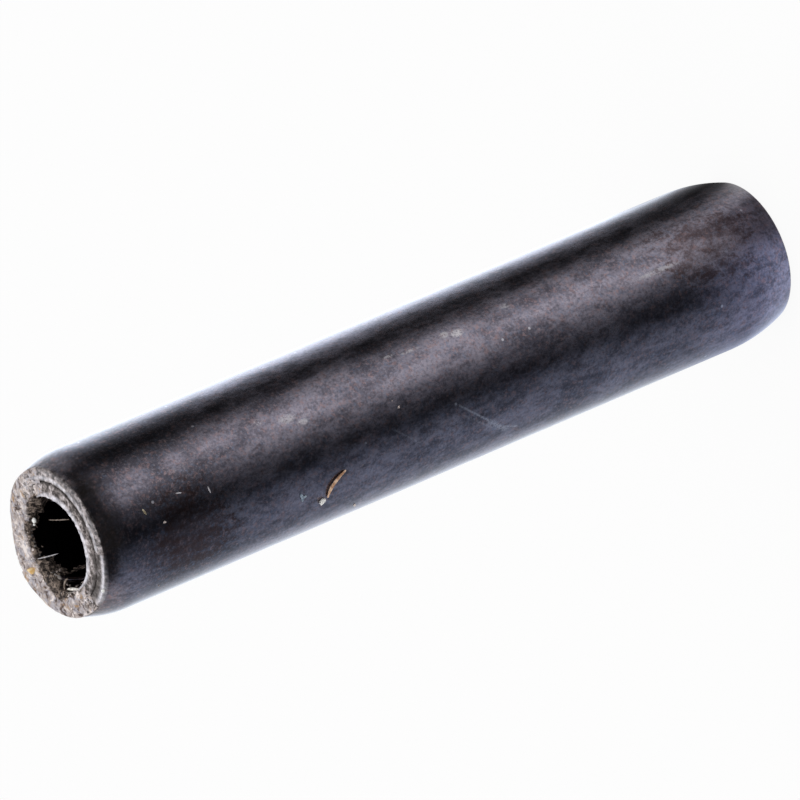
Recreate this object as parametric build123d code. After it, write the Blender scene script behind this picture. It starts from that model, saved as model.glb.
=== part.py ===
from build123d import *
import math
import os

# Coiled spring pin: one strip of spring steel, rolled round on itself a little
# over two turns, with both ends swaged in so that it starts in its hole.
# The pin stands on its end. +Z is its axis, and the origin is the middle of
# the lower end face. Angles are degrees about +Z, counted from +X.

# Driving dimensions, in mm
pin_diameter = 6.32        # across the free pin, before it is driven
pin_length = 32.0
strip_thickness = 0.46
coil_clearance = 0.04      # free air between one turn and the next
turns = 2.2
swage_length = 1.5         # how far each swaged end reaches along the pin
swage_drop = 0.35          # how far it draws the strip in, on the radius
outer_edge_radius = 0.15   # worn edge between the end face and the outside
inner_edge_radius = 0.06   # broken edge between the end face and the inside
seam_angle = 82.0          # where the strip's outer edge lies
step_angle = 75.0          # arc over which a turn drops under that edge
step_softness = 1.3        # over the 1 at which the end of the drop would be flat

pin_radius = pin_diameter / 2
pitch = strip_thickness + coil_clearance
end_z = pin_length - swage_length


def strip_profile(radius):
    """Section of the strip, in the XZ plane, with its outer face at this radius."""
    outer_low = (radius - swage_drop, 0)
    outer_high = (radius - swage_drop, pin_length)
    inner_low = (radius - swage_drop - strip_thickness, 0)
    inner_high = (radius - swage_drop - strip_thickness, pin_length)
    inside = radius - strip_thickness
    outline = [
        TangentArc((radius, swage_length), outer_low, tangent=(0, -1)),
        Line((radius, swage_length), (radius, end_z)),
        TangentArc((radius, end_z), outer_high, tangent=(0, 1)),
        Line(outer_high, inner_high),
        TangentArc((inside, end_z), inner_high, tangent=(0, 1)),
        Line((inside, end_z), (inside, swage_length)),
        TangentArc((inside, swage_length), inner_low, tangent=(0, -1)),
        Line(inner_low, outer_low),
    ]
    section = make_face(outline)
    for edge_point, edge_radius in [(outer_low, outer_edge_radius), (outer_high, outer_edge_radius),
                                    (inner_low, inner_edge_radius), (inner_high, inner_edge_radius)]:
        corner = section.vertices().sort_by_distance(edge_point)[0]
        section = fillet(corner, edge_radius)
    return Plane.XZ * section


def curl(radius, centre, start, sweep):
    """Strip curled at this radius about a centre, from a start angle through a sweep."""
    bend = revolve(strip_profile(radius), Axis.Z, sweep)
    return Pos(*centre, 0) * Rot(0, 0, start) * bend


def on_ray(distance, angle):
    """Point at a distance from the pin's axis along the ray at this angle."""
    return (distance * math.cos(math.radians(angle)), distance * math.sin(math.radians(angle)))


# Where a turn ends, two tangent arcs take it inwards by one pitch: a tight one
# whose centre lies on the ray where the step starts, then a slack one whose
# centre lies beyond the axis on the ray of the seam.
step_start = seam_angle - step_angle
fall = 1 - math.cos(math.radians(step_angle))
tight_offset = step_softness * pitch / fall
slack_offset = pitch * (2 * tight_offset - pitch) / (2 * (tight_offset * fall - pitch))
tight_centre = on_ray(tight_offset, step_start)
slack_centre = on_ray(-slack_offset, seam_angle)
meeting_angle = math.degrees(math.atan2(tight_centre[1] - slack_centre[1],
                                        tight_centre[0] - slack_centre[0]))


def whole_turn(radius):
    """One turn that starts at the seam with this radius and ends one pitch further in."""
    tight_radius = radius - tight_offset
    slack_radius = radius - pitch + slack_offset
    round_part = curl(radius, (0, 0), seam_angle, 360 - step_angle)
    tight_part = curl(tight_radius, tight_centre, step_start, meeting_angle - step_start)
    slack_part = curl(slack_radius, slack_centre, meeting_angle, seam_angle - meeting_angle)
    return [round_part, tight_part, slack_part]


whole_turns = int(turns)
pieces = []
for turn in range(whole_turns):
    pieces += whole_turn(pin_radius - turn * pitch)
last_radius = pin_radius - whole_turns * pitch
pieces.append(curl(last_radius, (0, 0), seam_angle, (turns - whole_turns) * 360))

coiled_pin = pieces[0]
for piece in pieces[1:]:
    coiled_pin = coiled_pin + piece

os.makedirs("parts", exist_ok=True)
export_step(coiled_pin, "parts/coiled_pin.step")
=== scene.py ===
"""Coiled spring pin: the rolled strip, the dirt that clings to it, and a small studio.

The strip is one surface, worked out as a section carried round a coil. It stands
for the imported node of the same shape. The dirt is separate pieces that sit on it.
All sizes are in millimetres until a mesh is made, where MM turns them into metres.
"""

import logging
import math
from dataclasses import astuple, dataclass
from enum import Enum
from typing import Sequence

import bpy
import numpy as np
from mathutils import Matrix, Vector

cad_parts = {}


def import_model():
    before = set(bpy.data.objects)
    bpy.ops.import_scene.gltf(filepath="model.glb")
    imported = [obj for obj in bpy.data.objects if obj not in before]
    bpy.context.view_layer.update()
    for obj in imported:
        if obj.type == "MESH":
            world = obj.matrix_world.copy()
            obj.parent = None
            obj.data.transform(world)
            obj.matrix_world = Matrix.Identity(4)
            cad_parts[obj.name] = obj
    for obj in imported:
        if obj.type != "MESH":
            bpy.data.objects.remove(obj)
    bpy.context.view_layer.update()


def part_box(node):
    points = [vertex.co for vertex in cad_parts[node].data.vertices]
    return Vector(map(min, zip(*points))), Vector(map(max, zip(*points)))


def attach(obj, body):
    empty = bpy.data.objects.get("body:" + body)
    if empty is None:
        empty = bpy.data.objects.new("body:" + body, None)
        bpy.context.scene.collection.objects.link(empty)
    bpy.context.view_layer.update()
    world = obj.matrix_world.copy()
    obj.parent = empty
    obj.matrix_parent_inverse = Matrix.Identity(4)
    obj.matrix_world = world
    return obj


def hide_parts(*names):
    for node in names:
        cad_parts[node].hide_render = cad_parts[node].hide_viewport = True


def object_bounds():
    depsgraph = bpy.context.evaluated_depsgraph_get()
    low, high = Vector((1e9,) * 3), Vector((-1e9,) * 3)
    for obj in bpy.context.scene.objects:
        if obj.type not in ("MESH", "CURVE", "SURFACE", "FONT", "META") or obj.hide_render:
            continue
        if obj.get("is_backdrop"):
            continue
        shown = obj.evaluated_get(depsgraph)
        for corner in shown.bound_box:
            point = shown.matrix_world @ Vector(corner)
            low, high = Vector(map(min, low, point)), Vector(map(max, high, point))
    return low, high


MM = 0.001
CAD_NODE = "coiled_pin"
BODY = "root"
UV_LAYER = "wrap"
SHADE = "shade"

log = logging.getLogger("coiled_pin")


class Mask(Enum):
    """The masks that the strip's mesh carries for its finish."""

    # Bright steel on the upper end's edges: partly worn edges, partly painted highlight.
    WORN = "worn"
    # Dark dirt on the cut face, and painted shade on the outer face's shoulder just below the upper
    # end.
    SOOT = "soot_and_shade"
    GRIME = "grime"
    CUT_END = "cut_end"
    INSIDE = "inside"


# ---------------------------------------------------------------- helpers


def smooth_step(value: np.ndarray, low: float, high: float) -> np.ndarray:
    """Eases from 0 at low to 1 at high along 3x^2 - 2x^3. Low may lie above high."""
    share = np.clip((value - low) / (high - low), 0.0, 1.0)
    return share * share * (3.0 - 2.0 * share)


def bump(value: np.ndarray, centre: float, half_width: float) -> np.ndarray:
    """Smooth hump: 1 at the centre and 0 from half_width away, along (1 - x^2)^2."""
    away = np.clip(np.abs(value - centre) / half_width, 0.0, 1.0)
    return (1.0 - away * away) ** 2


def span(value: np.ndarray, start: float, full: float, fade: float, end: float) -> np.ndarray:
    """Rises from 0 to 1 between the first two places, and falls back between the last two."""
    return smooth_step(value, start, full) * smooth_step(value, end, fade)


def unit(vectors: np.ndarray) -> np.ndarray:
    """Vectors scaled to length 1 along their last axis."""
    return vectors / np.linalg.norm(vectors, axis=-1, keepdims=True)


def polar(angle: np.ndarray, radius: np.ndarray, height: np.ndarray) -> np.ndarray:
    """Points from degrees about +Z, distances from the axis, and heights."""
    turn = np.radians(angle)
    return np.stack([radius * np.cos(turn), radius * np.sin(turn), height], axis=-1)


def shares(count: int) -> np.ndarray:
    """Even steps from 0 to 1, as a column."""
    return np.linspace(0.0, 1.0, count)[:, None]


def corner(count: int) -> tuple[np.ndarray, np.ndarray, np.ndarray]:
    """Angles over a quarter of a circle, and 1 less their cosines and sines, as columns."""
    quarter = np.linspace(0.0, np.pi / 2, count)[:, None]
    return quarter, 1 - np.cos(quarter), 1 - np.sin(quarter)


def joined(runs: Sequence[tuple], zero: np.ndarray) -> list[np.ndarray]:
    """Coordinates of runs laid end to end, each spread over as many columns as zero has."""
    spread = [np.broadcast_arrays(*(part + zero for part in run)) for run in runs]
    return [np.concatenate(parts) for parts in zip(*spread)]


@dataclass(frozen=True)
class SmoothNoise:
    """Smooth random heights over a plane, the same on every run.

    Attributes:
        seed: Picks the heights.
        cells: How many cells it has each way before it repeats.
    """

    seed: int
    cells: int = 64

    def at(self, across: np.ndarray, along: np.ndarray) -> np.ndarray:
        """Value noise: a random height at each whole number, eased in between.

        Args:
            across: First coordinate, in cells.
            along: Second coordinate, in cells, of a shape that goes with the first.

        Returns:
            Heights between -1 and 1.
        """
        heights = np.random.default_rng(self.seed).uniform(-1.0, 1.0, (self.cells, self.cells))
        across, along = np.broadcast_arrays(across, along)
        column, row = np.floor(across).astype(int), np.floor(along).astype(int)
        u = smooth_step(across - column, 0.0, 1.0)
        v = smooth_step(along - row, 0.0, 1.0)
        left, right = column % self.cells, (column + 1) % self.cells
        low, high = row % self.cells, (row + 1) % self.cells
        near = heights[left, low] * (1 - u) + heights[right, low] * u
        far = heights[left, high] * (1 - u) + heights[right, high] * u
        return near * (1 - v) + far * v

    def layered(self, across: np.ndarray, along: np.ndarray, octaves: int = 3) -> np.ndarray:
        """Sum of the noise at doubling frequencies and halving heights, up to about 1."""
        total = sum(self.at(across * 2 ** k, along * 2 ** k) / 2 ** k for k in range(octaves))
        return total / (2.0 - 0.5 ** (octaves - 1))


def grid_faces(rows: int, columns: int, close_rows: bool = False) -> np.ndarray:
    """Corner numbers of the quads of a grid whose points are stored row by row.

    Args:
        rows: How many rows of points there are.
        columns: How many points each row has.
        close_rows: Whether the last row joins the first.

    Returns:
        An array of four corner numbers for each quad.
    """
    row = np.arange(rows if close_rows else rows - 1)[:, None]
    column = np.arange(columns - 1)[None, :]
    here = row * columns + column
    up = (row + 1) % rows * columns + column
    return np.stack([here, here + 1, up + 1, up], axis=-1).reshape(-1, 4)


def tube_faces(rings: int, spokes: int) -> np.ndarray:
    """Corner numbers of the quads of a tube whose points are stored ring by ring.

    Args:
        rings: How many rings of points there are.
        spokes: How many points each ring has.

    Returns:
        An array of four corner numbers for each quad.
    """
    low = np.arange(rings - 1)[:, None] * spokes
    high = low + spokes
    spoke = np.arange(spokes)
    after = (spoke + 1) % spokes
    corners = [low + spoke, low + after, high + after, high + spoke]
    return np.stack(corners, axis=-1).reshape(-1, 4)


def make_piece(name: str, points: np.ndarray, faces: Sequence,
               material: bpy.types.Material) -> bpy.types.Object:
    """Makes a smooth-shaded mesh object from points in millimetres.

    Args:
        name: The piece's name.
        points: Its points, with x, y and z along the last axis.
        faces: Corner numbers, one sequence for each face.
        material: What it is made of.

    Returns:
        The object, at the origin, with its place in its mesh.
    """
    mesh = bpy.data.meshes.new(name)
    mesh.from_pydata((points.reshape(-1, 3) * MM).tolist(), [], [list(face) for face in faces])
    mesh.polygons.foreach_set("use_smooth", np.ones(len(mesh.polygons), dtype=bool))
    mesh.materials.append(material)
    mesh.update()
    piece = bpy.data.objects.new(name, mesh)
    bpy.context.scene.collection.objects.link(piece)
    return piece


def write_values(piece: bpy.types.Object, name: str, values: np.ndarray) -> None:
    """Stores a number at each of a piece's points, for its material to read."""
    attribute = piece.data.attributes.new(name, "FLOAT", "POINT")
    attribute.data.foreach_set("value", values.astype(np.float32).ravel())


def report_piece(piece: bpy.types.Object) -> None:
    """Logs a piece's name and its number of faces."""
    log.info("%s: %d faces", piece.name, len(piece.data.polygons))


# ---------------------------------------------------------------- shader helpers


def rgb(red: float, green: float, blue: float) -> tuple[float, float, float, float]:
    """An opaque colour, in linear light."""
    return (red, green, blue, 1.0)


class Nodes:
    """A node tree with short ways to add and join nodes."""

    def __init__(self, tree: bpy.types.NodeTree) -> None:
        """Keeps the material's, world's or group's tree that the nodes go into."""
        self.tree = tree

    def add(self, kind: str, settings: dict | None = None, **inputs: object) -> bpy.types.Node:
        """Adds a node.

        Args:
            kind: The node's type, without ShaderNode.
            settings: Its properties, by name.
            inputs: Values or sockets for its inputs. An underscore stands for a space.

        Returns:
            The new node.
        """
        node = self.tree.nodes.new("ShaderNode" + kind)
        for key, value in (settings or {}).items():
            setattr(node, key, value)
        self.fill(node, **inputs)
        return node

    def fill(self, node: bpy.types.Node, **inputs: object) -> None:
        """Feeds a node's inputs, where an underscore in a name stands for a space."""
        for key, value in inputs.items():
            self.feed(node.inputs[key.replace("_", " ")], value)

    def feed(self, socket: bpy.types.NodeSocket, value: object) -> None:
        """Joins a socket to an input, or sets the input to a plain value.

        Args:
            socket: The input.
            value: Another node's socket, a number, or a tuple.
        """
        if isinstance(value, bpy.types.NodeSocket):
            self.tree.links.new(value, socket)
        else:
            socket.default_value = value

    def maths(self, operation: str, *values: object, clamp: bool = False) -> bpy.types.NodeSocket:
        """Result of a Math node.

        Args:
            operation: What it works out, such as MULTIPLY.
            values: Its inputs, in order.
            clamp: Whether the result is kept between 0 and 1.

        Returns:
            The node's result.
        """
        node = self.add("Math", {"operation": operation, "use_clamp": clamp})
        for socket, value in zip(node.inputs, values):
            self.feed(socket, value)
        return node.outputs[0]

    def times(self, first: object, second: object) -> bpy.types.NodeSocket:
        """One number times another."""
        return self.maths("MULTIPLY", first, second)

    def plus(self, first: object, second: object) -> bpy.types.NodeSocket:
        """One number plus another."""
        return self.maths("ADD", first, second)

    def minus(self, first: object, second: object) -> bpy.types.NodeSocket:
        """One number less another."""
        return self.maths("SUBTRACT", first, second)

    def larger(self, first: object, second: object) -> bpy.types.NodeSocket:
        """The larger of two numbers."""
        return self.maths("MAXIMUM", first, second)

    def vector(self, operation: str, *values: object) -> bpy.types.Node:
        """Adds a Vector Math node.

        Args:
            operation: What it works out, such as SUBTRACT.
            values: Its inputs, in order.

        Returns:
            The node.
        """
        node = self.add("VectorMath", {"operation": operation})
        for socket, value in zip(node.inputs, values):
            self.feed(socket, value)
        return node

    def ease(self, value: object, low: float, high: float) -> bpy.types.NodeSocket:
        """A number eased from 0 to 1.

        Args:
            value: The number.
            low: Where the result is 0.
            high: Where the result is 1. It may be below low.

        Returns:
            The eased number.
        """
        start, end, first, last = (low, high, 0.0, 1.0) if low < high else (high, low, 1.0, 0.0)
        node = self.add("MapRange", {"interpolation_type": "SMOOTHSTEP"}, Value=value)
        self.fill(node, From_Min=start, From_Max=end, To_Min=first, To_Max=last)
        return node.outputs["Result"]

    def noise(self, place: object, scale: object, detail: float = 2.0, roughness: float = 0.5,
              distortion: float = 0.0) -> bpy.types.NodeSocket:
        """Noise from 0 to 1 at a place, with scale bumps for each unit and finer layers."""
        return self.add("TexNoise", Vector=place, Scale=scale, Detail=detail,
                        Roughness=roughness, Distortion=distortion).outputs[0]

    def mix(self, factor: object, first: object, second: object) -> bpy.types.NodeSocket:
        """Colour between two others.

        Args:
            factor: Goes from 0 to 1.
            first: The colour at 0.
            second: The colour at 1.

        Returns:
            The colour.
        """
        node = self.add("Mix", {"data_type": "RGBA"}, Factor=factor)
        first_colour, second_colour = node.inputs[6:8]
        self.feed(first_colour, first)
        self.feed(second_colour, second)
        return node.outputs[2]

    def blend(self, factor: object, first: object, second: object) -> bpy.types.NodeSocket:
        """Number that goes from the first to the second as the factor goes from 0 to 1."""
        node = self.add("Mix", {"data_type": "FLOAT"}, Factor=factor, A=first, B=second)
        return node.outputs[0]

    def coats(self, colour: object, *layers: tuple[object, object]) -> bpy.types.NodeSocket:
        """A colour with others laid over it in turn.

        Args:
            colour: The lowest.
            layers: A mask and a colour for each, from the lowest up.

        Returns:
            The colour that shows.
        """
        for mask, layer in layers:
            colour = self.mix(mask, colour, layer)
        return colour

    def carried(self, name: str) -> bpy.types.NodeSocket:
        """A number that the mesh carries at its points."""
        return self.add("Attribute", {"attribute_name": name}).outputs["Fac"]

    def in_mm(self) -> bpy.types.NodeSocket:
        """Adds the place on the object.

        Returns:
            The place, in millimetres.
        """
        place = self.add("TexCoord").outputs["Object"]
        scaled = self.add("VectorMath", {"operation": "SCALE"}, Vector=place, Scale=1.0 / MM)
        return scaled.outputs[0]


def new_material(name: str) -> tuple[bpy.types.Material, Nodes, bpy.types.Node]:
    """Makes an empty node material.

    Args:
        name: The material's name.

    Returns:
        The material, its nodes, and its Principled BSDF.
    """
    material = bpy.data.materials.new(name)
    material.use_nodes = True
    return material, Nodes(material.node_tree), material.node_tree.nodes["Principled BSDF"]


def show(material: bpy.types.Material, nodes: Nodes, shader: bpy.types.Node) -> None:
    """Makes a shader the material's surface."""
    nodes.feed(material.node_tree.nodes["Material Output"].inputs["Surface"], shader.outputs[0])


class Effects:
    """Node groups that the finishes share. Each is built once."""

    def __init__(self) -> None:
        """Builds the groups."""
        self.scratch, self.grain = self._scratch(), self._grain()
        self.dust, self.streaks = self._dust(), self._streaks()

    @staticmethod
    def _group(name: str, inputs: dict[str, str],
               outputs: Sequence[str]) -> tuple[bpy.types.NodeTree, Nodes, dict, bpy.types.Node]:
        """Starts a group.

        Args:
            name: The group's name.
            inputs: The type of each input, by name.
            outputs: The names of its outputs, which are numbers.

        Returns:
            The group, its nodes, its input sockets by name, and its output node.
        """
        tree = bpy.data.node_groups.new(name, "ShaderNodeTree")
        for key, kind in inputs.items():
            tree.interface.new_socket(key, in_out="INPUT", socket_type="NodeSocket" + kind)
        for key in outputs:
            tree.interface.new_socket(key, in_out="OUTPUT", socket_type="NodeSocketFloat")
        start = tree.nodes.new("NodeGroupInput")
        end = tree.nodes.new("NodeGroupOutput")
        return tree, Nodes(tree), {key: start.outputs[key] for key in inputs}, end

    def _scratch(self) -> bpy.types.NodeTree:
        """Builds the mask of a straight scratch: 1 near a short line, and soft beyond its width.

        Returns:
            The group.
        """
        tree, nodes, at, end = self._group(
            "Scratch", {"Place": "Vector", "Middle": "Vector", "Lean": "Float",
                        "Half Length": "Float", "Half Width": "Float"}, ["Mask"])
        offset = nodes.vector("SUBTRACT", at["Place"], at["Middle"]).outputs[0]
        turned = nodes.add("VectorRotate", {"rotation_type": "Z_AXIS"}, Vector=offset,
                           Angle=nodes.times(at["Lean"], -1.0))
        along, beside, _ = nodes.add("SeparateXYZ", Vector=turned.outputs[0]).outputs
        past = nodes.larger(nodes.minus(nodes.maths("ABSOLUTE", along), at["Half Length"]), 0.0)
        away = nodes.maths("SQRT", nodes.plus(
            nodes.maths("POWER", nodes.times(past, 0.25), 2.0), nodes.maths("POWER", beside, 2.0)))
        share = nodes.maths("DIVIDE", away, at["Half Width"])
        nodes.feed(end.inputs["Mask"], nodes.ease(share, 1.6, 0.4))
        return tree

    def _grain(self) -> bpy.types.NodeTree:
        """Builds the fine unevenness of a metal surface, as a height for bump.

        Returns:
            The group.
        """
        tree, nodes, at, end = self._group(
            "Grain", {"Place": "Vector", "Fineness": "Float"}, ["Height"])
        fine = nodes.noise(at["Place"], at["Fineness"], 4.0, 0.65)
        coarse = nodes.noise(at["Place"], nodes.times(at["Fineness"], 0.31), 3.0, 0.6)
        nodes.feed(end.inputs["Height"], nodes.blend(0.45, fine, coarse))
        return tree

    def _dust(self) -> bpy.types.NodeTree:
        """Builds the unevenness of dry dirt: a tone for its colours, and a height for bump.

        Returns:
            The group.
        """
        tree, nodes, at, end = self._group("Dust", {"Place": "Vector"}, ["Tone", "Height"])
        fine = nodes.noise(at["Place"], 3.4, 5.0, 0.66, 1.2)
        broad = nodes.noise(at["Place"], 1.5, 3.0, 0.6)
        nodes.feed(end.inputs["Tone"], nodes.blend(0.38, fine, broad))
        nodes.feed(end.inputs["Height"], fine)
        return tree

    def _streaks(self) -> bpy.types.NodeTree:
        """Builds the mask of the pale streaks along a fibre.

        Returns:
            The group.
        """
        tree, nodes, at, end = self._group("Streaks", {"Place": "Vector"}, ["Mask"])
        nodes.feed(end.inputs["Mask"], nodes.ease(nodes.noise(at["Place"], 6.0), 0.35, 0.65))
        return tree

    @staticmethod
    def place(nodes: Nodes, group: bpy.types.NodeTree, **inputs: object) -> bpy.types.Node:
        """Puts one of the groups into a material.

        Args:
            nodes: The material's nodes.
            group: The group.
            inputs: Values or sockets for its inputs. An underscore stands for a space.

        Returns:
            The group's node.
        """
        node = nodes.add("Group", {"node_tree": group})
        nodes.fill(node, **inputs)
        return node


# ---------------------------------------------------------------- the coil's shape


@dataclass(frozen=True)
class Coil:
    """The roll of strip, in millimetres and degrees about +Z.

    Attributes:
        radius: Of the pin's outside.
        length: Of the pin.
        strip: The strip's thickness.
        gap: Air between one turn and the next.
        turns: How many turns the strip makes, inwards from its outer edge.
        seam: The angle of the outer edge.
        step: The arc over which a turn drops under the outer edge.
        softness: Over the 1 at which the end of that drop would be flat.
        swage_length: How far the drawn-in upper end reaches along the pin.
        swage_drop: How far it draws the strip in.
        foot_length: How far the drawn-in lower end reaches.
        foot_drop: How far it draws the strip in.
        skew: Degrees that the strip's two corners are drawn back at the upper end.
        settles: Degrees past the outer edge between which a sprung turn comes in.
        swell: How far the upper end bulges beside the seam.
        swollen: The middle and the half width of that bulge, in degrees.
    """

    radius: float
    length: float
    strip: float = 0.46
    gap: float = 0.04
    turns: float = 2.2
    seam: float = 82.0
    step: float = 75.0
    softness: float = 1.3
    swage_length: float = 1.5
    swage_drop: float = 0.35
    foot_length: float = 2.3
    foot_drop: float = 0.41
    skew: float = 16.0
    settles: tuple[float, float] = (10.0, 105.0)
    swell: float = 0.06
    swollen: tuple[float, float] = (42.0, 34.0)

    @property
    def pitch(self) -> float:
        """From one turn's outside to the next one's."""
        return self.strip + self.gap

    @property
    def travel(self) -> float:
        """Degrees from the outer edge of the strip to its inner edge."""
        return 360.0 * self.turns

    def outside(self, travelled: np.ndarray) -> tuple[np.ndarray, np.ndarray]:
        """The strip's outer face in plan.

        A turn is a circle about the axis. Over its last degrees two tangent arcs
        take it in by one pitch: a tight one, then a slack one.

        Args:
            travelled: Degrees from the outer edge, inwards along the strip.

        Returns:
            Points in plan, and the outward normals there, two columns each.
        """
        fall = 1.0 - math.cos(math.radians(self.step))
        tight = self.softness * self.pitch / fall
        slack = self.pitch * (2 * tight - self.pitch) / (2 * (tight * fall - self.pitch))
        start, end = math.radians(self.seam - self.step), math.radians(self.seam)
        turn = np.floor(travelled / 360.0)
        circle = self.radius - turn * self.pitch
        past = travelled - 360.0 * turn - (360.0 - self.step)
        angle = np.radians(self.seam + travelled)
        tight_at = np.array([math.cos(start), math.sin(start)]) * tight
        slack_at = np.array([math.cos(end), math.sin(end)]) * -slack
        meeting = unit(tight_at - slack_at)

        def ray(centre: float, centre_angle: float, arc_radius: np.ndarray) -> np.ndarray:
            """Distance from the axis to an arc, along each point's ray."""
            off = angle - centre_angle
            return centre * np.cos(off) + np.sqrt(arc_radius ** 2 - (centre * np.sin(off)) ** 2)

        tight_radius = circle - tight
        met = tight_at + tight_radius[:, None] * meeting
        share = np.degrees(np.arctan2(met[:, 1], met[:, 0])) - (self.seam - self.step)
        on_tight = ray(tight, start, tight_radius)
        on_slack = ray(-slack, end, circle - self.pitch + slack)
        distance = np.where(past < 0, circle, np.where(past < share, on_tight, on_slack))
        points = distance[:, None] * np.stack([np.cos(angle), np.sin(angle)], axis=1)
        along = unit(np.gradient(points, np.radians(travelled), axis=0))
        return points, np.stack([along[:, 1], -along[:, 0]], axis=1)

    @staticmethod
    def swage(into: np.ndarray, length: float, drop: float) -> np.ndarray:
        """Share of a swaged end's draw: the rise of an arc that starts along the pin.

        Args:
            into: How far a point lies into the swaged end, in millimetres.
            length: Of the swaged end.
            drop: The draw at its face.

        Returns:
            The share, from 0 where the end starts to 1 at its face.
        """
        arc = (length ** 2 + drop ** 2) / (2 * drop)
        into = np.clip(into, 0.0, length)
        return (arc - np.sqrt(arc * arc - into * into)) / drop

    def end_radius(self, travelled: np.ndarray) -> np.ndarray:
        """Radius of the strip's outer face at the upper end, where the coil has sprung open.

        There the outer edge stands one pitch proud. Each turn comes in by a pitch
        just after the edge, not before it, so the bore stays round.

        Args:
            travelled: Degrees from the outer edge, inwards along the strip.

        Returns:
            The radius at each place.
        """
        settled = sum(smooth_step(travelled - 360.0 * turn, *self.settles) for turn in range(3))
        swell = self.swell * bump((travelled + self.seam) % 360.0, *self.swollen)
        return self.radius - self.swage_drop + self.pitch * (1.0 - settled) + swell


# ---------------------------------------------------------------- finishes


@dataclass(frozen=True)
class Scratch:
    """A scratch on the outside of the pin.

    Attributes:
        angle: Of its middle, in degrees about +Z.
        height: Of its middle, in millimetres.
        lean: How far it turns from round the pin to along it, in degrees.
        length: In millimetres.
        width: In millimetres.
        strength: How bright it is, from 0 to 1.
    """

    angle: float
    height: float
    lean: float
    length: float
    width: float
    strength: float


@dataclass(frozen=True)
class Blotch:
    """A soft-edged patch on the outside of the pin.

    Attributes:
        angle: Of its middle, in degrees about +Z.
        height: Of its middle, in millimetres.
        across: Its width round the pin, in degrees.
        along: Its length up the pin, in millimetres.
        strength: How much it shows, from 0 to 1.
    """

    angle: float
    height: float
    across: float
    along: float
    strength: float


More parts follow.
